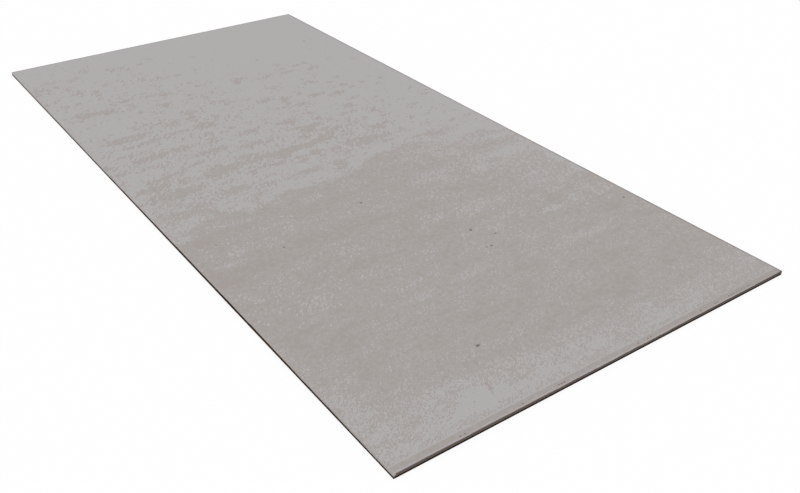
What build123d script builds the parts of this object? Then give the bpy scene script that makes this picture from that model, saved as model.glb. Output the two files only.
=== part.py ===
import os

from build123d import *

# A flat fiber cement panel, lying face up.
# All sizes are in millimetres. X is the width, Y the length and Z the thickness.
# The origin is at the centre of the back face, which rests on the floor.
panel_length = 2440
panel_width = 1220
panel_thickness = 12

# A narrow band at the near short end falls away gently from the face to the edge.
end_band_width = 17
end_band_drop = 0.4

# The trimmed edges have a thin arris all round the face and a finer one round the back.
face_arris = 0.8
back_arris = 0.3

near_end_y = -panel_length / 2
far_end_y = panel_length / 2
band_inner_y = near_end_y + end_band_width
near_end_height = panel_thickness - end_band_drop

with BuildPart() as fiber_cement_panel:
    # The panel's long section, seen from its side, runs the whole width.
    with BuildSketch(Plane.YZ):
        with BuildLine():
            Polyline(
                (near_end_y, 0),
                (near_end_y, near_end_height),
                (band_inner_y, panel_thickness),
                (far_end_y, panel_thickness),
                (far_end_y, 0),
                close=True,
            )
        make_face()
    extrude(amount=panel_width / 2, both=True)

    # The face's outline gets its arris, but the line where the band meets the face doesn't.
    back_outline = fiber_cement_panel.faces().sort_by(Axis.Z)[0].edges()
    corner_edges = fiber_cement_panel.edges().filter_by(Axis.Z)
    band_line = (
        fiber_cement_panel.edges()
        .filter_by(Axis.X)
        .filter_by_position(Axis.Y, near_end_y, far_end_y, inclusive=(False, False))
    )
    face_outline = fiber_cement_panel.edges() - back_outline - corner_edges - band_line
    chamfer(face_outline, length=face_arris)

    # The back face is found again, because the first arris has changed the solid.
    back_outline = fiber_cement_panel.faces().sort_by(Axis.Z)[0].edges()
    chamfer(back_outline, length=back_arris)

fiber_cement_panel.part.label = "fiber_cement_panel"

os.makedirs("parts", exist_ok=True)
export_step(fiber_cement_panel.part, "parts/fiber_cement_panel.step")
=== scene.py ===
import math

import bpy
import bmesh
import numpy as np
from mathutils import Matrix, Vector, noise


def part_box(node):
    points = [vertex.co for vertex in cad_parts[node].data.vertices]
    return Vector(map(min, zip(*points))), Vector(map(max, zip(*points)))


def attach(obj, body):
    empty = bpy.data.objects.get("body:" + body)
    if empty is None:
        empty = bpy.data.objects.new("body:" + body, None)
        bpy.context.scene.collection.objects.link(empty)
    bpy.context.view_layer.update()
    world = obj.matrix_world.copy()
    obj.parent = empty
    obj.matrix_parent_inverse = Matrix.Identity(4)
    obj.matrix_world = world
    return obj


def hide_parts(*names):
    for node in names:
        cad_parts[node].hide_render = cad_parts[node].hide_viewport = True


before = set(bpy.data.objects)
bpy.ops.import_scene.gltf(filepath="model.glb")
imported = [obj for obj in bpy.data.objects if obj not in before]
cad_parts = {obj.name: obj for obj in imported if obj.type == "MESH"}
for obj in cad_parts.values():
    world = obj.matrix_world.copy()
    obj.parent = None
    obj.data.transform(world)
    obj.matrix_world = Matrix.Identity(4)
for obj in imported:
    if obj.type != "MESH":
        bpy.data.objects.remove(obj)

# A fiber cement panel lying face up on a white studio floor.
# Lengths in the dictionaries are millimetres unless a note says otherwise. The scene itself is in metres.

mm = 0.001
scene = bpy.context.scene
scene.view_settings.view_transform = "Standard"
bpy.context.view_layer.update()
# the panel's origin is at the centre of its back, so its highest corner gives its half sizes
halfWidth, halfLength, thickness = [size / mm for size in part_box("fiber_cement_panel")[1]]
faceSlot, edgeSlot, backSlot = 0, 1, 2  # the mesh's material slots
white = (1, 1, 1, 1)


def linear(hexColour):
    # sRGB hex to the linear colour that shader sockets take
    values = [int(hexColour[i:i + 2], 16) / 255 for i in (1, 3, 5)]
    return [v / 12.92 if v <= 0.04045 else ((v + 0.055) / 1.055) ** 2.4 for v in values] + [1]


def node(tree, kind, inputs={}, **settings):
    # adds a shader node and sets its options, then fills its sockets, by name or number,
    # with plain values or with links from another socket or another node's result
    new = tree.nodes.new("ShaderNode" + kind)
    for name, value in settings.items():
        setattr(new, name, value)
    for name, value in inputs.items():
        named = [socket for socket in new.inputs if socket.enabled and socket.name == name]
        socket = named[0] if named else new.inputs[name]
        if isinstance(value, bpy.types.Node):
            value = [result for result in value.outputs if result.enabled][0]
        if isinstance(value, bpy.types.NodeSocket):
            tree.links.new(value, socket)
        else:
            socket.default_value = value
    return new


smooth = {"interpolation_type": "SMOOTHSTEP"}  # lets a MapRange node ease in and out


# Camera: set so that the panel's four outlines fall where the photo has them
cameraSetup = {
    "place": (-1.34327, -2.15946, 1.28921),  # metres
    "turn": (57.2629, 0.0913, -33.9816),  # degrees
    "lens": 40.272,
    "shift": (0.06405, 0.00014),  # shares of the frame's width
}
cameraData = bpy.data.cameras.new("camera")
cameraData.lens = cameraSetup["lens"]
cameraData.shift_x, cameraData.shift_y = cameraSetup["shift"]
camera = bpy.data.objects.new("camera", cameraData)
camera.location = cameraSetup["place"]
camera.rotation_euler = [math.radians(a) for a in cameraSetup["turn"]]
scene.collection.objects.link(camera)
scene.camera = camera
print("camera ready")


# Studio: an even white dome and one broad lamp from above,
# together at a level where colours render as they are written
studio = {
    "domeStrength": 0.58,
    "lampStrength": 1.14,
    "lampTilt": (-14, 10, 0),  # degrees off straight down
    "lampSoftness": 50,  # degrees
    "floorSize": 60,  # metres
    "floorGlow": 0.9,  # share of plain white in what is seen of the floor; the rest keeps the shadow
}


def seenRays(tree):
    # 1 for rays that show the background to the camera, straight or by way of a mirror or glass
    rays = node(tree, "LightPath")
    seen = rays.outputs["Is Camera Ray"]
    for kind in ("Is Glossy Ray", "Is Transmission Ray"):
        seen = node(tree, "Math", {0: seen, 1: rays.outputs[kind]}, operation="MAXIMUM")
    return seen


world = bpy.data.worlds.new("studio")
world.use_nodes = True
scene.world = world
tree = world.node_tree
tree.nodes.clear()
strength = node(tree, "MapRange", {"Value": seenRays(tree), "To Min": studio["domeStrength"], "To Max": 1})
dome = node(tree, "Background", {"Color": white, "Strength": strength})
node(tree, "OutputWorld", {"Surface": dome})

lampData = bpy.data.lights.new("softLamp", "SUN")
lampData.energy = studio["lampStrength"]
lampData.angle = math.radians(studio["lampSoftness"])
lamp = bpy.data.objects.new("softLamp", lampData)
lamp.rotation_euler = [math.radians(a) for a in studio["lampTilt"]]
scene.collection.objects.link(lamp)

floorMaterial = bpy.data.materials.new("whiteStudioFloor")
floorMaterial.use_nodes = True
tree = floorMaterial.node_tree
tree.nodes.clear()
glow = node(tree, "Math", {0: seenRays(tree), 1: studio["floorGlow"]}, operation="MULTIPLY")
lit = node(tree, "BsdfDiffuse", {"Color": white})
plain = node(tree, "Emission", {"Color": white, "Strength": 1})
both = node(tree, "MixShader", {0: glow, 1: lit, 2: plain})
node(tree, "OutputMaterial", {"Surface": both})
bpy.ops.mesh.primitive_plane_add(size=studio["floorSize"], location=(0, 0, 0))
floor = bpy.context.object
floor.name = "floor"
floor.data.materials.append(floorMaterial)
print("studio ready")


# The panel's own form: sizes as the CAD node has them, relief as given here
panel = {
    "arris": 0.8,
    "backArris": 0.3,
    "bandWidth": 17,
    "bandDrop": 0.4,
    "cell": 7,  # spacing of the face's mesh
    "tooClose": 0.3,  # share of a cell: an even line this near to an extra one is left out
    # extra lines where the painted tone changes quickly
    "nearLine": 3,  # from the near end
    "bandLines": (-3, -1.5, 0, 1.5, 3, 4.5, 6),  # from the line where the band meets the face
    "farLine": 10,  # from the far end
    "rightLine": 8,  # from the right edge
    "edgeRows": 7,  # rows of points up the trimmed edges
    "edgeWander": 0.30,  # how far the trimmed edges wander inwards
    "wanderSize": 45,  # along the edge
    "wanderClimb": 40,  # how many times faster the wander changes up an edge than along it
    "faceWave": 0.10,  # how far the pressed face dips between its high spots
    "waveSize": (160, 90),  # across and along
    "waveMargin": 30,  # the waves fade out towards the outline over this distance
    "sharpAngle": 30,  # degrees: edges bent more than this stay crisp
    # air pits in the face: place across and along, width, length, depth
    "pits": [
        (-224, -1015, 16, 10, 0.8), (87, -627, 12, 11, 1.2), (-76, -338, 12, 8, 1.0),
        (-377, -417, 9, 6, 0.8), (66, -716, 12, 5, 0.6), (81, -718, 9, 7, 0.9), (76, -699, 5, 5, 0.6),
        (131, -677, 11, 6, 0.6), (570, -737, 10, 8, 0.9), (-561, -623, 5, 5, 0.6), (-280, -604, 5, 5, 0.6),
        (-522, -309, 6, 6, 0.7),
        # a scratch of three short marks
        (-294, -1124, 3, 14, 0.3), (-298, -1138, 3, 14, 0.3), (-302, -1150, 3, 12, 0.3),
    ],
    # pinholes in the band at the near end: place across; for all of them place along, width, length, depth
    "pinholes": [-440, -428, -272, -168, -160, -152, 82, 114, 124, 300, 354, 362,
                 407, 416, 425, 436, 446, 456, 466, 480, 487],
    "pinholeShape": (-1212, 5, 4.4, 0.9),
    "pitSlope": (0.35, 1.1),  # shares of a pit's half width between which it rises to the face
    "carving": ((2, 7), (1, 2.5)),  # rounds of finer mesh: cuts in a cell, distance beyond the pit's rim
    # painted shade in the pits, and a darker colour along the rims, as shares of the pit colour
    "darkDepths": (0.15, 0.6),  # a pit's painted shade begins at the first depth, and is full dark at the second
    "rimWidth": 1,
    "rimDarkerRightAndFar": 0.9,
    # along the near rim: place across, share
    "rimDarkerNear": [(-610, 0.9), (-300, 1.0), (-150, 0.45), (0, 0.15), (150, 0.3), (300, 0.5), (450, 0.6),
                 (590, 1)],
    "rimDarkerUnevenness": 0.4,
    "rimDarkerSize": 60,
}


def lumps(points, sizeX, sizeY, seed, octaves=3):
    # smooth noise from about -1 to 1, with lumps of the given size in millimetres,
    # each octave half as large and half as strong as the last; each seed reads another part of the noise
    shift = Vector((seed * 17.3, seed * 5.1, seed * 9.7))
    return np.array([noise.fractal(Vector((x / sizeX, y / sizeY, 0)) + shift, 1, 2, octaves)
                     for x, y in points])


def fade(value, start, end, amount=1):
    # 0 at start, the amount at end, smooth between
    t = np.clip((value - start) / (end - start), 0, 1)
    return amount * t * t * (3 - 2 * t)


def readOff(value, rows):
    # reads a list of (place, amount) rows at the given places, straight from row to row
    places, amounts = zip(*rows)
    return np.interp(value, places, amounts)


def meshPoints(mesh):
    # the mesh's points in millimetres
    places = np.zeros(len(mesh.vertices) * 3)
    mesh.vertices.foreach_get("co", places)
    return places.reshape(-1, 3) / mm


def storePaint(mesh, name, values):
    # keeps one number for each point, for the materials to read
    layer = mesh.attributes.new(name, "FLOAT", "POINT")
    layer.data.foreach_set("value", values.astype(np.float32))


def gridLines(half, extra):
    # evenly spaced lines, less those too close to one of the extra lines that are put in
    lines = np.linspace(-half, half, round(2 * half / panel["cell"]) + 1)
    gaps = np.abs(lines[:, None] - np.array(extra)).min(axis=1)
    keep = (gaps > panel["cell"] * panel["tooClose"]) | (np.abs(lines) == half)
    return np.sort(np.append(lines[keep], extra))


def levelPoints(x, y, inset, z):
    # the given places kept inside the outline by the inset, at one height
    x = np.clip(x, inset - halfWidth, halfWidth - inset)
    y = np.clip(y, inset - halfLength, halfLength - inset)
    return np.stack([x, y, np.full(x.shape, float(z))], -1).reshape(-1, 3)


def bandFall(y):
    # how far the band has fallen away at a place along the panel
    return panel["bandDrop"] * np.clip(1 - (y + halfLength) / panel["bandWidth"], 0, 1)


def buildPanel():
    xs = gridLines(halfWidth, [halfWidth - panel["rightLine"]])
    bandLines = [panel["bandWidth"] - halfLength + away for away in panel["bandLines"]]
    ys = gridLines(halfLength, [panel["nearLine"] - halfLength, *bandLines, halfLength - panel["farLine"]])
    nx, ny = len(xs), len(ys)
    gridX, gridY = np.meshgrid(xs, ys)
    face = levelPoints(gridX, gridY, panel["arris"], thickness)

    # the outline once round, starting at the near left corner
    ring = [(i, 0) for i in range(nx - 1)] + [(nx - 1, j) for j in range(ny - 1)]
    ring += [(i, ny - 1) for i in range(nx - 1, 0, -1)] + [(0, j) for j in range(ny - 1, 0, -1)]
    ringX = np.array([xs[i] for i, j in ring])
    ringY = np.array([ys[j] for i, j in ring])
    heights = np.linspace(panel["backArris"], thickness - panel["arris"], panel["edgeRows"])
    rows = [levelPoints(ringX, ringY, panel["backArris"], 0)]
    for k, z in enumerate(heights):
        inset = 0
        # the rows beside the arrises stay straight
        if 0 < k < len(heights) - 1:
            run = np.stack([ringX + ringY, ringX - ringY + z * panel["wanderClimb"]], -1)
            wander = lumps(run, panel["wanderSize"], panel["wanderSize"], seed=11 + k)
            inset = np.clip(0.5 + 0.5 * wander, 0, 1) * panel["edgeWander"]
        rows.append(levelPoints(ringX, ringY, inset, z))

    # the band falls away at the near end, and the top of the edge under it comes down with it
    for level in (face, rows[-1]):
        level[:, 2] -= bandFall(level[:, 1])

    points = np.concatenate([face] + rows)
    quads = []
    slots = []
    for j in range(ny - 1):
        for i in range(nx - 1):
            a = j * nx + i
            quads.append((a, a + 1, a + nx + 1, a + nx))
            slots.append(faceSlot)
    start = nx * ny
    count = len(ring)
    loops = [list(range(start + k * count, start + (k + 1) * count)) for k in range(len(rows))]
    loops.append([j * nx + i for i, j in ring])
    quads.append(loops[0][::-1])
    slots.append(backSlot)
    for lower, upper in zip(loops, loops[1:]):
        for k in range(count):
            n = (k + 1) % count
            quads.append((lower[k], lower[n], upper[n], upper[k]))
            slots.append(edgeSlot)

    mesh = bpy.data.meshes.new("fiberCementPanel")
    mesh.from_pydata((points * mm).tolist(), [], quads)
    mesh.polygons.foreach_set("material_index", slots)
    mesh.update()
    return mesh


def carveFace(mesh):
    spots = panel["pits"] + [(x, *panel["pinholeShape"]) for x in panel["pinholes"]]
    bm = bmesh.new()
    bm.from_mesh(mesh)
    pitLayer = bm.verts.layers.float.new("pit")
    # finer mesh round each pit
    for cuts, margin in panel["carving"]:
        near = set()
        for f in bm.faces:
            if f.material_index != faceSlot:
                continue
            c = f.calc_center_median() / mm
            for x, y, width, length, depth in spots:
                reach = 0.5 * max(width, length) + margin
                if abs(c.x - x) < reach and abs(c.y - y) < reach:
                    near.update(f.edges)
                    break
        bmesh.ops.subdivide_edges(bm, edges=list(near), cuts=cuts, use_grid_fill=True)
    bmesh.ops.triangulate(bm, faces=[f for f in bm.faces if len(f.verts) > 4])

    # the face's slight waves, and the pits
    onFace = [v for v in bm.verts if any(f.material_index == faceSlot for f in v.link_faces)]
    places = np.array([v.co[:2] for v in onFace]) / mm
    x, y = places[:, 0], places[:, 1]
    dip = panel["faceWave"] * np.clip(0.5 + 0.5 * lumps(places, *panel["waveSize"], seed=3), 0, 1)
    fromRim = np.minimum(halfWidth - np.abs(x), halfLength - np.abs(y))
    dip *= fade(fromRim, panel["arris"], panel["waveMargin"])
    pitDepth = np.zeros(len(places))
    for pitX, pitY, width, length, depth in spots:
        away = np.hypot((x - pitX) / (width / 2), (y - pitY) / (length / 2))
        pitDepth = np.maximum(pitDepth, depth - fade(away, *panel["pitSlope"], depth))

    # the rims at the right and at the far end are painted a little darker, and so are parts of the near one
    rightOrFar = (x > halfWidth - panel["rimWidth"]) | (y > halfLength - panel["rimWidth"])
    rimDarker = np.where(rightOrFar, panel["rimDarkerRightAndFar"], 0)
    rimDarker = np.where(y < panel["rimWidth"] - halfLength, readOff(x, panel["rimDarkerNear"]), rimDarker)
    rimDarker *= 1 + panel["rimDarkerUnevenness"] * lumps(places, panel["rimDarkerSize"], panel["rimDarkerSize"], seed=51)
    # painted shade in the pits, deeper as they deepen, together with the darker rims
    dark = np.maximum(fade(pitDepth, *panel["darkDepths"]), np.clip(rimDarker, 0, 1))
    for v, down, share in zip(onFace, dip + pitDepth, dark):
        v.co.z -= down * mm
        v[pitLayer] = share
    bm.to_mesh(mesh)
    bm.free()
    # pits and waves shade smoothly, the arrises stay crisp
    mesh.shade_smooth()
    mesh.set_sharp_from_angle(angle=math.radians(panel["sharpAngle"]))


# Paint of the face, as tones before the grain: mostly pale bloom above 0, mostly bare and warm below.
# Fades are given as the places where they start and end, and their amount.
facePaint = {
    "bloom": 1.55,
    "bloomToCorner": (300, 1700, 1.2),  # paler towards the far right corner
    "cornerLean": 1.6393,  # how much the place across counts there against the place along
    "bloomAlong": (100, 600, 0.5),
    "bloomAtFarEnd": (850, 1100, 0.7),
    "farEndLean": 0.5,
    "bare": -1.33,
    "bareToRight": (0, 600, 0.45),  # paler in the middle of the right side
    "bareAlong": (-900, -300),
    "nearEnd": 1.34,  # paler again near the near end, less so on the right
    "nearEndRight": (-150, 450, 0.7),
    "nearEndAlong": (1042, 1184),  # here as distances from the panel's middle
    # where the bare warm face takes over from the pale bloom: place across, place along
    "bloomEdge": [
        (-610, -245), (-575, -243), (-560, -222), (-545, -200), (-500, -178), (-470, -162), (-425, -155),
        (-410, -175), (-385, -190), (-360, -203), (-320, -205), (-300, -186), (-260, -180), (-240, -165),
        (-215, -155), (-180, -160), (-150, -168), (-60, -171), (0, -168), (40, -152), (70, -140),
        (100, -125), (130, -118), (200, -114), (225, -104), (260, -98), (290, -104), (325, -108),
        (350, -150), (400, -170), (430, -164), (470, -158), (520, -162), (560, -192), (610, -202),
    ],
    "edgeFade": 18,  # half the width of that border
    "edgePull": 18,  # how far it is pulled about
    "edgePullSize": (50, 35),
    # streaks where the bloom is worn through: place across and along, reach across and along, strength
    "warmStreaks": [
        (-592, 265, 26, 22, 2.2), (-495, 256, 32, 24, 2.4), (-435, 260, 28, 20, 2.6),
        (-358, 264, 40, 22, 2.2), (-255, 262, 36, 18, 1.6), (-108, 260, 26, 16, 2.2),
        (-156, 246, 12, 12, 1.6), (-30, 290, 10, 10, 1.4), (-15, 250, 14, 22, 2.0),
        (-590, 208, 24, 12, 2.0), (-478, 204, 30, 10, 1.4), (-390, 195, 60, 14, 1.2),
        (-272, 193, 48, 16, 2.8), (-150, 165, 44, 20, 2.3), (-90, 155, 14, 10, 1.7),
        (-602, 145, 10, 14, 2.2), (-500, 108, 36, 8, 2.4), (-440, 120, 36, 7, 2.6), (-395, 135, 26, 8, 2.2),
        (-355, 145, 16, 13, 3.0), (-222, 104, 22, 10, 2.6), (-88, 115, 9, 12, 2.2), (-522, 68, 36, 24, 2.8),
        (-590, 62, 34, 12, 1.8), (-435, 62, 26, 14, 2.6), (-335, 60, 40, 34, 3.2), (-265, 60, 36, 20, 2.4),
        (-195, 72, 54, 17, 3.3), (-120, 52, 28, 28, 2.6), (-60, 66, 54, 18, 3.0), (-498, 2, 54, 28, 3.2),
        (-425, 8, 34, 18, 2.4), (-570, 5, 34, 24, 1.1), (-325, -15, 34, 7, 2.0), (-172, 8, 58, 12, 2.8),
        (-240, -5, 12, 12, 2.2), (-74, -22, 18, 12, 2.6), (-45, 5, 40, 9, 2.0), (-10, -5, 20, 26, 2.6),
        (-342, -69, 50, 25, 3.0), (-540, -45, 40, 12, 1.2), (-455, -121, 27, 47, 2.9),
        (-520, -105, 36, 38, 2.2), (-590, -112, 38, 34, 1.8), (-415, -44, 30, 16, 1.6),
        (-240, -95, 42, 18, 2.5), (-220, -50, 34, 7, 1.2), (-92, -90, 32, 16, 2.8),
        (-150, -95, 26, 10, 1.6), (-300, -132, 34, 10, 1.8), (-318, -165, 12, 20, 2.0),
        (-8, -122, 18, 26, 1.7), (-590, -195, 32, 40, 1.2), (32, 242, 32, 24, 2.6), (131, 220, 12, 14, 2.8),
        (130, 272, 9, 10, 2.4), (82, 258, 18, 5, 2.0), (90, 304, 10, 8, 2.2), (25, 188, 30, 10, 2.1),
        (90, 182, 30, 14, 2.8), (60, 158, 24, 16, 2.8), (22, 118, 26, 16, 2.4), (125, 130, 32, 14, 2.4),
        (150, 112, 34, 8, 1.8), (105, 105, 14, 18, 2.6), (90, 90, 26, 16, 3.0), (50, 72, 34, 14, 3.0),
        (10, 60, 26, 12, 2.3), (52, -16, 26, 20, 2.4), (130, -10, 36, 32, 3.2), (190, -12, 44, 26, 2.6),
        (245, -15, 30, 14, 1.8), (228, -54, 26, 8, 2.6), (75, -48, 18, 7, 2.2), (262, 44, 26, 24, 2.6),
        (150, 60, 36, 10, 1.6), (305, 62, 22, 12, 2.2), (148, 82, 6, 6, 2.4), (325, 170, 22, 26, 2.4),
        (220, 200, 24, 10, 1.8), (160, 190, 20, 8, 1.8), (210, 150, 16, 14, 1.5), (272, 132, 12, 12, 2.0),
        (235, 115, 18, 6, 1.0), (330, 112, 12, 10, 2.2), (278, 238, 20, 16, 2.2), (285, 262, 14, 8, 2.6),
        (335, 288, 28, 9, 2.2), (352, 262, 12, 9, 2.0), (403, 260, 11, 8, 2.4), (395, 208, 18, 16, 1.9),
        (465, 190, 24, 8, 2.0), (560, 182, 15, 18, 2.2), (550, 262, 12, 22, 1.5), (475, 130, 15, 11, 2.2),
        (400, 45, 14, 18, 2.1), (455, 32, 13, 12, 2.2), (520, 55, 24, 7, 2.0), (545, 70, 10, 14, 1.8),
        (308, -12, 16, 16, 2.0), (416, -24, 12, 6, 2.4), (492, -50, 24, 9, 2.5), (570, -48, 34, 8, 2.0),
        (385, -98, 36, 24, 2.4), (455, -95, 28, 15, 2.2), (312, -82, 30, 9, 2.4), (224, -88, 14, 12, 2.2),
        (60, -82, 22, 7, 1.8), (110, -88, 12, 6, 2.0), (12, -108, 22, 32, 2.0), (-600, 942, 14, 32, 1.9),
        (-566, 985, 18, 26, 2.0), (-565, 932, 8, 12, 2.2), (-522, 1032, 30, 12, 2.3),
        (-518, 980, 12, 12, 2.4), (-492, 942, 14, 20, 2.4), (-450, 1005, 20, 20, 1.5),
        (-430, 1022, 8, 8, 1.7), (-366, 1072, 10, 12, 1.6), (-280, 1022, 30, 22, 1.9),
        (-235, 995, 10, 8, 1.8), (-168, 1030, 11, 15, 2.6), (-125, 1055, 12, 20, 1.8),
        (-602, 838, 10, 14, 2.2), (-563, 840, 14, 14, 2.0), (-550, 788, 10, 14, 2.4),
        (-508, 785, 9, 16, 1.9), (-476, 880, 24, 22, 2.2), (-408, 862, 20, 10, 2.2),
        (-420, 820, 13, 28, 2.0), (-356, 905, 8, 10, 2.2), (-292, 898, 12, 10, 2.2),
        (-232, 878, 12, 16, 2.2), (-195, 868, 34, 32, 1.5), (-172, 838, 14, 20, 1.3),
        (-207, 933, 9, 9, 2.2), (-106, 838, 9, 15, 2.6), (-25, 870, 7, 12, 2.4), (-355, 790, 10, 8, 2.4),
        (-360, 757, 8, 10, 2.4), (-216, 778, 8, 18, 2.2), (-104, 744, 10, 8, 2.6), (-58, 742, 14, 10, 1.9),
        (-302, 747, 26, 8, 2.4), (-408, 722, 12, 18, 2.3), (-357, 718, 26, 14, 2.5),
        (-278, 718, 26, 14, 2.5), (-216, 700, 28, 17, 2.5), (-560, 648, 24, 10, 1.6),
        (-528, 682, 28, 26, 2.4), (-485, 678, 34, 20, 2.1), (-432, 665, 32, 18, 2.9),
        (-378, 638, 30, 11, 2.8), (-346, 672, 18, 14, 1.8), (-348, 602, 8, 14, 1.9),
        (-262, 613, 24, 22, 3.0), (-197, 570, 9, 14, 2.2), (-150, 697, 12, 10, 2.2), (-86, 697, 9, 11, 2.4),
        (-112, 672, 18, 10, 1.5), (-146, 642, 18, 7, 2.2), (-118, 614, 36, 12, 1.9),
        (-105, 588, 18, 8, 1.5), (-42, 580, 12, 6, 1.8), (-290, 562, 12, 14, 1.5), (-422, 505, 12, 7, 2.2),
        (-374, 497, 18, 9, 2.3), (-362, 466, 18, 10, 1.8), (-405, 484, 14, 10, 2.0),
        (-316, 485, 18, 26, 2.9), (-295, 460, 30, 20, 2.8), (-212, 500, 26, 9, 2.5),
        (-220, 462, 14, 26, 2.1), (-170, 500, 12, 16, 1.9), (-104, 535, 18, 16, 2.7),
        (-68, 526, 18, 10, 2.3), (-74, 492, 12, 8, 2.4), (-44, 500, 14, 10, 2.5), (-512, 428, 46, 18, 2.2),
        (-465, 424, 46, 22, 2.9), (-420, 425, 40, 14, 2.2), (-150, 424, 13, 16, 2.8),
        (-310, 385, 38, 16, 2.1), (-210, 386, 38, 28, 3.0), (-425, 368, 40, 12, 2.8),
        (-488, 358, 28, 8, 2.5), (-350, 360, 30, 10, 1.2), (-122, 372, 16, 12, 2.2),
        (-92, 390, 14, 14, 2.2), (-528, 308, 28, 13, 2.1), (-245, 312, 26, 12, 2.4),
        (-153, 312, 9, 12, 2.4), (30, 980, 7, 12, 2.4), (130, 998, 14, 10, 2.0), (83, 908, 9, 8, 2.4),
        (22, 882, 16, 10, 2.0), (220, 806, 9, 8, 2.6), (216, 870, 6, 10, 2.2), (485, 893, 8, 15, 2.8),
        (515, 884, 7, 10, 1.8), (412, 783, 7, 9, 2.2), (452, 792, 10, 12, 1.9), (506, 768, 13, 13, 2.2),
        (70, 738, 18, 9, 2.3), (255, 720, 12, 15, 2.9), (482, 715, 9, 8, 2.3), (65, 672, 34, 22, 2.1),
        (45, 645, 16, 10, 2.4), (155, 637, 24, 12, 2.2), (190, 648, 14, 12, 2.0), (265, 676, 54, 12, 1.9),
        (315, 672, 18, 14, 1.5), (258, 638, 32, 14, 2.6), (358, 680, 12, 9, 2.6), (360, 610, 28, 14, 2.6),
        (375, 640, 14, 14, 2.5), (338, 620, 14, 10, 2.0), (458, 666, 14, 14, 2.4), (478, 680, 10, 10, 2.0),
        (555, 680, 12, 12, 2.2), (541, 614, 7, 10, 2.3), (484, 602, 6, 9, 2.0), (312, 582, 8, 9, 2.3),
        (330, 556, 12, 12, 2.0), (118, 538, 14, 12, 1.3), (158, 516, 12, 9, 2.5), (254, 503, 24, 15, 1.9),
        (285, 498, 14, 10, 2.0), (270, 538, 12, 7, 1.9), (12, 492, 10, 10, 2.5), (52, 452, 26, 20, 2.7),
        (118, 418, 24, 18, 3.0), (183, 434, 22, 11, 2.9), (333, 463, 10, 9, 2.4), (384, 490, 12, 10, 2.4),
        (362, 414, 24, 14, 2.3), (478, 430, 12, 6, 2.5), (226, 390, 26, 14, 3.0), (262, 393, 10, 10, 2.4),
        (108, 386, 8, 16, 2.2), (300, 362, 34, 14, 2.5), (318, 380, 12, 14, 2.4), (386, 377, 14, 10, 2.6),
        (440, 396, 16, 9, 1.9), (515, 393, 18, 10, 1.9), (478, 355, 15, 12, 2.4), (78, 358, 30, 7, 2.5),
        (148, 351, 28, 10, 2.7), (145, 318, 16, 16, 1.9), (246, 332, 14, 7, 2.3), (552, 308, 9, 7, 2.3),
    ],
    "streakWeight": 0.62,  # what a streak's strength counts for, and how much more in thick bloom
    "streakWeightInBloom": 1 / 3,
    "streakFloor": 1.2,  # streaks take the tone no further below 0 than this, and less at the far end
    "streakFloorFar": (200, 700, 0.4),
    # thin lime on the bare face: place across and along, reach across and along, strength
    "paleClouds": [
        (-490, -362, 26, 26, 1.2), (-535, -415, 22, 10, 1.6), (-380, -365, 16, 16, 1.0),
        (-310, -345, 20, 26, 0.9), (-335, -310, 40, 14, 0.7), (-185, -245, 34, 12, 0.8),
        (-225, -415, 16, 10, 1.1), (-98, -385, 9, 8, 1.5), (-236, -548, 24, 12, 1.1),
        (-550, -545, 30, 20, 0.5), (-440, -530, 50, 24, 0.2), (-548, -592, 14, 12, 1.1),
        (-370, -505, 18, 8, 0.9), (-415, -680, 50, 26, 0.6), (-285, -645, 60, 18, 0.5),
        (-220, -722, 30, 20, 0.7), (-240, -800, 20, 8, 1.2), (-205, -795, 30, 14, 1.2),
        (-50, -785, 50, 14, 1.2), (-60, -650, 24, 12, 0.9), (-592, -985, 24, 26, 1.4),
        (-510, -1015, 70, 26, 0.3), (-430, -1050, 60, 18, 0.2), (-585, -1052, 36, 30, 1.7),
        (-604, -860, 16, 90, 0.7), (-370, -1086, 60, 14, 1.0), (-448, -1097, 48, 20, 1.5),
        (-390, -1159, 30, 18, 2.2), (-385, -1120, 44, 20, 0.6), (-326, -1147, 42, 34, 2.4),
        (-225, -1168, 42, 16, 1.5), (-570, -1105, 40, 28, 1.4), (-480, -1178, 34, 16, 0.7),
        (-150, -1125, 40, 16, 1.0), (-130, -1165, 60, 18, 1.0), (-30, -1145, 40, 30, 0.6),
        (225, -318, 44, 10, 1.9), (180, -345, 50, 16, 1.3), (172, -275, 14, 16, 1.1),
        (350, -360, 44, 20, 1.8), (400, -320, 50, 20, 1.1), (480, -330, 56, 34, 2.2),
        (560, -320, 50, 32, 2.0), (600, -380, 20, 60, 1.8), (530, -378, 40, 10, 1.4),
        (345, -240, 34, 22, 1.6), (430, -218, 60, 16, 0.9), (510, -225, 40, 16, 1.2),
        (580, -225, 40, 20, 1.9), (602, -285, 20, 20, 0.8), (240, -180, 56, 24, 0.9),
        (335, -170, 60, 22, 1.6), (470, -195, 60, 25, 0.6), (440, -405, 50, 12, 0.7),
        (490, -430, 50, 16, 0.5), (592, -440, 22, 44, 1.3), (455, -480, 60, 16, 0.9),
        (410, -540, 30, 24, 1.1), (500, -540, 50, 30, 1.1), (588, -540, 24, 18, 2.4),
        (600, -500, 14, 30, 1.4), (175, -535, 60, 24, 1.5), (280, -545, 50, 16, 1.1),
        (40, -522, 50, 14, 1.1), (350, -595, 30, 10, 0.4), (215, -622, 42, 22, 1.1),
        (148, -652, 20, 12, 2.2), (140, -702, 44, 16, 0.9), (350, -672, 38, 14, 1.8),
        (455, -650, 20, 30, 1.1), (532, -645, 14, 44, 1.5), (575, -660, 10, 30, 1.1),
        (205, -735, 30, 24, 0.9), (310, -740, 30, 30, 0.5), (265, -812, 46, 14, 1.3),
        (365, -820, 46, 12, 1.5), (420, -800, 30, 8, 0.9), (160, -855, 16, 26, 0.9),
        (430, -885, 20, 6, 0.9), (170, -935, 24, 12, 0.7), (210, -960, 30, 10, 0.6),
        (40, -1155, 44, 28, 0.7), (195, -1165, 40, 26, 1.1), (190, -1130, 40, 14, 0.5),
        (290, -1180, 60, 14, 1.1), (345, -1150, 40, 20, 0.8), (600, -1130, 18, 40, 0.5),
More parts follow.
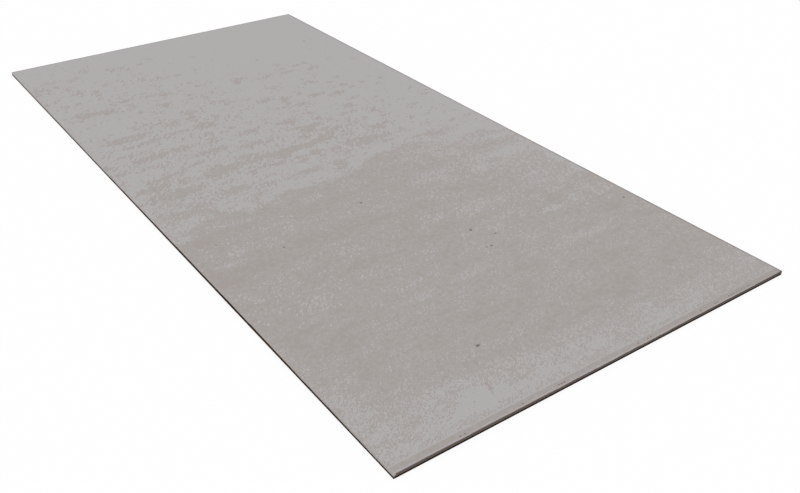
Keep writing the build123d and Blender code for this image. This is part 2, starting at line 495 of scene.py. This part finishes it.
        (440, -1125, 30, 14, 0.6), (560, -1130, 40, 40, 0.5),
    ],
    # damp on the bare face: place across and along, reach across and along, strength
    "dampPatches": [
        (-540, -285, 44, 20, 1.1), (-325, -220, 26, 18, 1.2), (-410, -265, 30, 12, 0.7),
        (-240, -275, 60, 16, 0.7), (-100, -290, 60, 14, 0.7), (-580, -455, 34, 44, 1.2),
        (-465, -452, 64, 26, 1.1), (-330, -432, 56, 32, 0.9), (-235, -447, 40, 24, 0.8),
        (-150, -428, 60, 26, 1.0), (-560, -487, 50, 8, 0.9), (-60, -440, 34, 10, 0.7),
        (-500, -515, 50, 16, 0.6), (-245, -600, 56, 16, 1.6), (-370, -597, 60, 10, 0.8),
        (-570, -605, 40, 8, 0.8), (-45, -590, 46, 18, 1.2), (-50, -515, 40, 14, 0.9),
        (-20, -485, 60, 12, 0.4), (-30, -665, 34, 18, 0.8), (-570, -750, 60, 8, 1.4),
        (-500, -755, 34, 7, 1.0), (-555, -790, 14, 24, 0.9), (-405, -797, 50, 6, 1.4),
        (-470, -815, 40, 12, 1.0), (-470, -850, 40, 34, 0.8), (-488, -957, 16, 14, 1.4),
        (-390, -935, 60, 20, 0.2), (-280, -925, 22, 14, 1.1), (-160, -930, 34, 22, 1.1),
        (-90, -945, 24, 14, 0.9), (-105, -900, 20, 8, 1.0), (-30, -940, 26, 14, 0.7),
        (-210, -870, 24, 8, 0.7), (-20, -1050, 34, 16, 0.5), (66, -452, 30, 18, 1.1),
        (195, -430, 16, 16, 1.1), (260, -440, 30, 20, 0.9), (275, -485, 30, 12, 1.0),
        (370, -485, 20, 8, 1.0), (90, -385, 16, 14, 0.9), (165, -262, 18, 12, 1.0),
        (262, -245, 14, 12, 1.2), (490, -258, 60, 8, 0.5), (50, -572, 34, 12, 1.0),
        (390, -620, 20, 30, 1.1), (240, -590, 20, 10, 0.8), (503, -758, 30, 18, 1.3),
        (380, -775, 20, 10, 0.9), (82, -838, 18, 20, 1.1), (550, -830, 26, 14, 0.8),
        (305, -935, 36, 22, 1.0), (370, -950, 20, 20, 0.9), (497, -975, 18, 14, 1.1),
        (20, -920, 30, 16, 0.7), (145, -1028, 40, 18, 1.2), (262, -1025, 34, 18, 1.3),
        (205, -1062, 24, 12, 1.2), (75, -1062, 44, 8, 1.1), (408, -1025, 18, 18, 1.2),
        (480, -1015, 30, 8, 0.9),
        # the scratch
        (-294, -1124, 3.5, 9, 3.0), (-298, -1138, 3.5, 9, 3.2), (-302, -1150, 3.5, 8, 3.0),
    ],
    "patchFalloff": 3.5,  # how steeply patches end: 1 would be very soft, 10 hard
    "patchPull": (8, 5),  # how far their outlines are pulled across and along, so that no oval shows
    "patchPullSizes": ((30, 20), (30, 15)),
    # the band at the near end is bare, between a worn line along the arris and one where the face begins:
    # place across, how far from the near end it reaches
    "bandReach": [(-610, 20.4), (-460, 20.2), (-400, 18.7), (-100, 18.5), (0, 18.2), (110, 17.2),
                  (200, 18.0), (400, 18.0), (610, 17.5)],
    "bandBare": -2.1,
    "bandBareRight": -3.0,  # from this place on to the right
    "bandRightFrom": 150,
    "seamWidth": (0.75, 2.3),  # of the line where the face begins, inside and outside the band's reach
    "seam": 2.5,
    "seamFade": (100, 450, 3),
    "lineWidth": 3.5,  # of the line along the arris
    "line": 2.3,
    "lineFades": ((-300, -100, 2.1), (400, 560, 1.4)),
    "rimWidth": 1,  # of its rim, which is worn the most
    "rim": 4,
    "rimFade": (480, 600, 6),
}


def laidOn(places, rows):
    # adds up the patches at the given places: each is a soft-edged oval, full inside and gone well outside
    total = np.zeros(len(places))
    for x, y, reachX, reachY, strength in rows:
        away = np.hypot((places[:, 0] - x) / reachX, (places[:, 1] - y) / reachY)
        total += strength / (1 + np.exp((away - 1) * facePaint["patchFalloff"]))
    return total


def paintFace(mesh):
    paint = facePaint
    places = meshPoints(mesh)[:, :2]
    x, y = places[:, 0], places[:, 1]
    # the broad areas: bloom above its ragged edge, bare face below it
    pull = paint["edgePull"] * lumps(places, *paint["edgePullSize"], seed=21, octaves=4)
    edge = readOff(x, paint["bloomEdge"])
    above = fade(y + pull, edge - paint["edgeFade"], edge + paint["edgeFade"])
    bloom = paint["bloom"] + fade(y + x * paint["cornerLean"], *paint["bloomToCorner"])
    bloom += fade(y, *paint["bloomAlong"]) + fade(y + x * paint["farEndLean"], *paint["bloomAtFarEnd"])
    bare = paint["bare"] + fade(x, *paint["bareToRight"]) * fade(y, *paint["bareAlong"])
    bare += (paint["nearEnd"] - fade(x, *paint["nearEndRight"])) * fade(pull - y, *paint["nearEndAlong"])
    tone = bare + (bloom - bare) * above

    # the patches
    pulls = [amount * lumps(places, *size, seed)
             for amount, size, seed in zip(paint["patchPull"], paint["patchPullSizes"], (41, 42))]
    pulled = places + np.stack(pulls, -1)
    weight = paint["streakWeight"] + bloom * paint["streakWeightInBloom"]
    streaks = laidOn(pulled, paint["warmStreaks"]) * weight
    most = bloom + paint["streakFloor"] - fade(y, *paint["streakFloorFar"])
    tone -= np.minimum(streaks, most) * above
    tone += laidOn(pulled, paint["paleClouds"]) * (1 - above)
    tone -= laidOn(pulled, paint["dampPatches"])

    # the seam, the band, the line along the arris and its rim, each laid over the last
    fromEnd = y + halfLength
    inside = readOff(x, paint["bandReach"]) - fromEnd
    inner, outer = paint["seamWidth"]
    seam = paint["seam"] - fade(x, *paint["seamFade"])
    band = np.where(x > paint["bandRightFrom"], paint["bandBareRight"], paint["bandBare"])
    line = paint["line"] - sum(fade(x, *row) for row in paint["lineFades"])
    rim = paint["rim"] - fade(x, *paint["rimFade"])
    tone = np.where(inside > -outer, seam, tone)
    tone = np.where(inside > inner, band, tone)
    tone = np.where(fromEnd < paint["lineWidth"], line, tone)
    tone = np.where(fromEnd < paint["rimWidth"], rim, tone)
    storePaint(mesh, "tone", tone)


def newMaterial(name):
    material = bpy.data.materials.new(name)
    material.use_nodes = True
    material.node_tree.nodes.clear()
    return material, material.node_tree


def finishMaterial(tree, look, colour, roughness, height):
    # an IOR of 1.5 is typical of the minerals in cement
    bump = node(tree, "Bump", {"Height": height, "Distance": look["bump"] * mm, "Strength": 1})
    shader = node(tree, "BsdfPrincipled", {"Base Color": colour, "Roughness": roughness, "IOR": 1.5,
                                           "Specular IOR Level": look["shine"], "Normal": bump})
    node(tree, "OutputMaterial", {"Surface": shader})


def mottling(tree, place, size, detail, roughness):
    # soft lumps of the given size in millimetres, where 0 leaves a direction out;
    # Blender's noise lies mostly within 0.11 of 0.5, so this brings it to about -1 to 1
    scale = [1 / (s * mm) if s else 0 for s in size]
    mapped = node(tree, "Mapping", {"Vector": place, "Scale": scale})
    made = node(tree, "TexNoise", {"Vector": mapped, "Scale": 1, "Detail": detail, "Roughness": roughness})
    return node(tree, "MapRange", {"Value": made, "From Min": 0.5, "From Max": 0.61}, clamp=False)


def cementGrains(tree, place, size, lie):
    # grains of the given width and length in millimetres, each with a value of its own;
    # the cells' greys lie about 0.5, so this centres them on 0, most of them within 1
    mapped = node(tree, "Mapping", {"Vector": place, "Rotation": (0, 0, math.radians(lie)),
                                    "Scale": (size[0] * mm, size[1] * mm, 1)}, vector_type="TEXTURE")
    cells = node(tree, "TexVoronoi", {"Vector": mapped, "Scale": 1}, voronoi_dimensions="2D")
    return node(tree, "MapRange", {"Value": cells.outputs["Color"], "From Min": 0.5, "From Max": 0.79},
                clamp=False)


faceLook = {
    "pale": "#b4b1b1",
    "paleGrain": "#b8b5b5",
    "bare": "#ada7a4",
    "bareGrain": "#a7a19d",
    "damp": "#a8a19e",
    # painted shade in the pits, also used for the darker colour along the rims
    "pit": "#7d746f",
    "bareRoughness": 0.82,
    "bloomRoughness": 0.88,
    "shine": 0.1,  # specular level: the fine pores leave only a trace of gloss
    # patterns: size, detail, roughness
    "blotch": ((85, 36, 0), 3, 0.55),  # lime comes out in patches up to a hand wide
    "fleck": ((20, 11, 0), 2, 0.6),  # and breaks up into flecks
    "stainAndShade": ((15, 13, 0), 3, 0.65),  # water spots
    # real fibres are 1 to 3 mm long and hair-thin, and the grains between them finer still,
    # so both are drawn as one coarser grain that shows: width, length
    "grain": (2.2, 3.8),
    "lie": -34,  # degrees off the sheet's length that the grain lies
    # coarser again as the bloom thickens: size, and the places along between which it takes over
    "coarserGrain": [((3, 6), -720, -690), ((4.5, 12), -60, -30)],
    "coarserPull": 60,  # how far blotches pull those borders about
    "thickening": (-500, 300),  # places along between which the bloom thickens
    # share of each pattern that is added to the tone, on the bare face and in the bloom
    "blotchShares": (0.4, 0.6),
    "fleckShares": (0.32, 0.5),
    "thinGrainShares": (1.18, 1.2),  # before the bloom thickens
    "thickGrainShares": (0.95, 1.6),  # and after
    "bloomStart": (-0.8, 0.6),  # tones between which the first shares give way to the second
    "paleSoftness": 0.08,  # tones to either side of 0 over which a pale grain ends
    "dampShares": (0.35, 0.85, 0.4),  # of blotches, water spots and grain
    "dampTones": (-1.96, -2.08),
    # how far off 0 the tone is where grains look like their broad area, and where they stand out
    "singleTones": (1.1, 0.2),
    "fleckBump": 0.6,  # against the grain
    "bump": 0.02,
}


def pressedFaceMaterial():
    # Fiber cement, pressed smooth: matt warm grey under a thin pale bloom of lime that breaks up in streaks
    look = faceLook
    material, tree = newMaterial("fiberCementPressedFace")
    place = node(tree, "TexCoord").outputs["Object"]
    along = node(tree, "SeparateXYZ", {"Vector": place}).outputs["Y"]
    along = node(tree, "Math", {0: along, 1: 1 / mm}, operation="MULTIPLY")
    tone = node(tree, "Attribute", attribute_name="tone").outputs["Fac"]
    pit = node(tree, "Attribute", attribute_name="pit").outputs["Fac"]
    blotch, fleck, stainAndShade = [mottling(tree, place, *look[name]) for name in ("blotch", "fleck", "stainAndShade")]
    grain = cementGrains(tree, place, look["grain"], look["lie"])
    border = node(tree, "Math", {0: blotch, 1: look["coarserPull"], 2: along}, operation="MULTIPLY_ADD")
    for size, start, end in look["coarserGrain"]:
        taken = node(tree, "MapRange", {"Value": border, "From Min": start, "From Max": end}, **smooth)
        coarser = cementGrains(tree, place, size, look["lie"])
        grain = node(tree, "Mix", {"Factor": taken, "A": grain, "B": coarser})

    # lime lies where the tone and the patterns together come out above 0
    start, end = look["thickening"]
    thick = node(tree, "MapRange", {"Value": along, "From Min": start, "From Max": end}, **smooth)
    start, end = look["bloomStart"]
    bloomed = node(tree, "MapRange", {"Value": tone, "From Min": start, "From Max": end}, **smooth)
    grainShares = [node(tree, "Mix", {"Factor": thick, "A": thin, "B": full})
                   for thin, full in zip(look["thinGrainShares"], look["thickGrainShares"])]
    lime = tone
    for pattern, shares in ((blotch, look["blotchShares"]), (fleck, look["fleckShares"]),
                            (grain, grainShares)):
        share = node(tree, "Mix", {"Factor": bloomed, "A": shares[0], "B": shares[1]})
        lime = node(tree, "Math", {0: pattern, 1: share, 2: lime}, operation="MULTIPLY_ADD")
    soft = look["paleSoftness"]
    pale = node(tree, "MapRange", {"Value": lime, "From Min": -soft, "From Max": soft}, **smooth)

    # damp shows where the bare face is at its warmest
    wet = tone
    for pattern, share in zip((blotch, stainAndShade, grain), look["dampShares"]):
        wet = node(tree, "Math", {0: pattern, 1: share, 2: wet}, operation="MULTIPLY_ADD")
    start, end = look["dampTones"]
    damp = node(tree, "MapRange", {"Value": wet, "From Min": start, "From Max": end}, **smooth)

    # single grains among grains of the other kind stand out a little more than their own broad areas
    offZero = node(tree, "Math", {0: lime}, operation="ABSOLUTE")
    start, end = look["singleTones"]
    single = node(tree, "MapRange", {"Value": offZero, "From Min": start, "From Max": end}, **smooth)
    bare, bloom = [
        node(tree, "Mix", {"Factor": single, "A": linear(look[area]), "B": linear(look[area + "Grain"])},
             data_type="RGBA")
        for area in ("bare", "pale")
    ]
    colour = bare
    # the last of these, the pit colour, lays painted shade in the pits and the darker rims
    for share, over in ((damp, linear(look["damp"])), (pale, bloom), (pit, linear(look["pit"]))):
        colour = node(tree, "Mix", {"Factor": share, "A": colour, "B": over}, data_type="RGBA")
    rough = node(tree, "Mix", {"Factor": pale, "A": look["bareRoughness"], "B": look["bloomRoughness"]})
    height = node(tree, "Math", {0: fleck, 1: look["fleckBump"], 2: grain}, operation="MULTIPLY_ADD")
    finishMaterial(tree, look, colour, rough, height)
    return material


edgeLook = {
    # the upper colour is the cut's own brown-grey darkened with painted shade; the lower is a painted
    # shadow under the sheet
    "upper": "#6e635c",
    "lower": "#2a1509",
    # a darker brown: painted shade on the left edge, and a darker top along the near edge
    "darkerBrown": "#46352b",
    "worn": "#bbb6b2",
    "upperRoughness": 0.86,
    "lowerRoughness": 0.95,
    "shine": 0,  # specular level: the open, crumbly cut reflects nothing
    # patterns: size, detail, roughness
    "layers": ((60, 60, 1.3), 2, 0.6),  # real layers are about 0.2 mm, drawn thicker so that they show
    "crumbs": ((3, 3, 1.5), 2, 0.6),  # real crumbs are about 1 mm, drawn coarser so that they show
    "layerPull": 0.45,  # how far the layers and the crumbs pull the borders up and down
    "crumbPull": 0.35,
    "crumbBump": 0.5,  # against the layers
    "bump": 0.08,
    "shadowShare": 0.40,  # of the edge's height that takes the painted shadow under the sheet
    "shadowSoftness": 0.6,  # half the width of the border between the two
    "wornSoftness": 0.5,
    # how far the pale face colour runs down the left edge: place along, distance
    "wornLeft": [(-1220, 6.1), (-1140, 6.2), (-950, 4.9), (-700, 2.6), (-560, 2.0), (-410, 2.0),
                 (-200, 3.3), (-46, 4.3), (240, 5.4), (400, 6.2), (990, 6.1), (1220, 6.1)],
    # and down the near edge and the others: place across, distance
    "wornNear": [(-610, -0.3), (-370, -1.2), (-90, 0.8), (230, 0.3), (560, -0.9), (610, -1.0)],
    "wornUnevenness": 0.7,
    "wornUnevenSize": 45,
    "leftZone": 2,  # what is this near to the left side counts as the left edge
    # painted shade over the whole left edge, as a share of the darker brown
    "shadeLeft": 0.9,
    "darkerNearTop": (-100, 250, 0.5),  # the near edge's top painted darker, growing to the right: start, end, amount
    "darkerNearTopHeight": 1.5,  # down from the face
}


def paintEdges(mesh):
    # how far the pale face colour runs down each edge, and how much of the darker brown each edge takes:
    # painted shade on the left edge, and a darker top along the near edge
    places = meshPoints(mesh)
    x, y = places[:, 0], places[:, 1]
    left = x < edgeLook["leftZone"] - halfWidth
    worn = np.where(left, readOff(y, edgeLook["wornLeft"]), readOff(x, edgeLook["wornNear"]))
    size = edgeLook["wornUnevenSize"]
    worn += edgeLook["wornUnevenness"] * lumps(places[:, :2], size, size, seed=31)
    top = places[:, 2] > thickness - edgeLook["darkerNearTopHeight"]
    storePaint(mesh, "worn", worn)
    # painted shade on the left edge, and a darker top along the near edge towards the right
    storePaint(mesh, "stainAndShade", np.where(left, edgeLook["shadeLeft"], fade(x, *edgeLook["darkerNearTop"]) * top))


def trimmedEdgeMaterial():
    # Fiber cement cut through: rough, with the thin layers of the pressed sheet lying along it,
    # dark brown below as a painted shadow under the sheet, brown-grey above that is partly painted shade,
    # and the face's pale colour worn over its top
    look = edgeLook
    material, tree = newMaterial("fiberCementTrimmedEdge")
    place = node(tree, "TexCoord").outputs["Object"]
    worn = node(tree, "Attribute", attribute_name="worn").outputs["Fac"]
    stainAndShade = node(tree, "Attribute", attribute_name="stainAndShade").outputs["Fac"]
    layers, crumbs = [mottling(tree, place, *look[name]) for name in ("layers", "crumbs")]
    # the height up the edge in millimetres, pulled about so that no border runs straight
    up = node(tree, "SeparateXYZ", {"Vector": place}).outputs["Z"]
    up = node(tree, "Math", {0: up, 1: 1 / mm}, operation="MULTIPLY")
    for pattern, pull in ((layers, look["layerPull"]), (crumbs, look["crumbPull"])):
        up = node(tree, "Math", {0: pattern, 1: pull, 2: up}, operation="MULTIPLY_ADD")
    # the lower part of the edge takes the painted shadow under the sheet
    low = look["shadowShare"] * thickness
    soft = look["shadowSoftness"]
    upper = node(tree, "MapRange", {"Value": up, "From Min": low - soft, "From Max": low + soft}, **smooth)
    reached = node(tree, "Math", {0: up, 1: worn}, operation="ADD")
    soft = look["wornSoftness"]
    pale = node(tree, "MapRange", {"Value": reached, "From Min": thickness - soft,
                                   "From Max": thickness + soft}, **smooth)
    # painted shadow below, the brown-grey with its painted shade above, the darker brown, then the worn
    # pale top
    colour = linear(look["lower"])
    for share, name in ((upper, "upper"), (stainAndShade, "darkerBrown"), (pale, "worn")):
        over = linear(look[name])
        colour = node(tree, "Mix", {"Factor": share, "A": colour, "B": over}, data_type="RGBA")
    rough = node(tree, "Mix", {"Factor": upper, "A": look["lowerRoughness"], "B": look["upperRoughness"]})
    height = node(tree, "Math", {0: crumbs, 1: look["crumbBump"], 2: layers}, operation="MULTIPLY_ADD")
    finishMaterial(tree, look, colour, rough, height)
    return material


backLook = {
    "dry": "#968f8a",
    "damp": "#8a827c",
    "dryRoughness": 0.95,
    "dampRoughness": 0.85,
    "shine": 0.1,
    # patterns: size, detail, roughness
    "blotch": ((90, 60, 0), 3, 0.6),
    "grain": ((7, 7, 0), 2, 0.6),  # coarser than the real grain, as on the face
    "grainShare": 0.5,  # against the blotches
    "dampTones": (-0.6, 0.8),
    "weave": 1.57,  # spacing of the felt's marks, drawn coarser than the real 0.5 mm so that they show
    "grainBump": 0.4,  # against the weave
    "bump": 0.1,
}


def feltBackMaterial():
    # Fiber cement's unpressed back: a duller grey that keeps the fine weave of the felt it was laid up on
    look = backLook
    material, tree = newMaterial("fiberCementFeltBack")
    place = node(tree, "TexCoord").outputs["Object"]
    blotch, grain = [mottling(tree, place, *look[name]) for name in ("blotch", "grain")]
    # Blender's wave repeats every tau / 20 of its own units
    pitch = math.tau / 20 / (look["weave"] * mm)
    mapped = node(tree, "Mapping", {"Vector": place, "Scale": (pitch, pitch, 0)})
    threads = [node(tree, "TexWave", {"Vector": mapped, "Scale": 1}, bands_direction=way).outputs["Fac"]
               for way in ("X", "Y")]
    weave = node(tree, "Math", {0: threads[0], 1: threads[1]}, operation="MULTIPLY")
    wet = node(tree, "Math", {0: grain, 1: look["grainShare"], 2: blotch}, operation="MULTIPLY_ADD")
    start, end = look["dampTones"]
    damp = node(tree, "MapRange", {"Value": wet, "From Min": start, "From Max": end}, **smooth)
    colour = node(tree, "Mix", {"Factor": damp, "A": linear(look["dry"]), "B": linear(look["damp"])},
                  data_type="RGBA")
    rough = node(tree, "Mix", {"Factor": damp, "A": look["dryRoughness"], "B": look["dampRoughness"]})
    height = node(tree, "Math", {0: grain, 1: look["grainBump"], 2: weave}, operation="MULTIPLY_ADD")
    finishMaterial(tree, look, colour, rough, height)
    return material


mesh = buildPanel()
print("panel meshed:", len(mesh.polygons), "faces")
carveFace(mesh)
mesh.calc_loop_triangles()
print("panel carved:", len(mesh.loop_triangles), "triangles")
paintFace(mesh)
paintEdges(mesh)
print("panel painted")
for material in (pressedFaceMaterial(), trimmedEdgeMaterial(), feltBackMaterial()):
    mesh.materials.append(material)

panelPiece = bpy.data.objects.new("fiberCementSheet", mesh)
scene.collection.objects.link(panelPiece)
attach(panelPiece, "root")
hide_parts("fiber_cement_panel")
print("panel dressed")
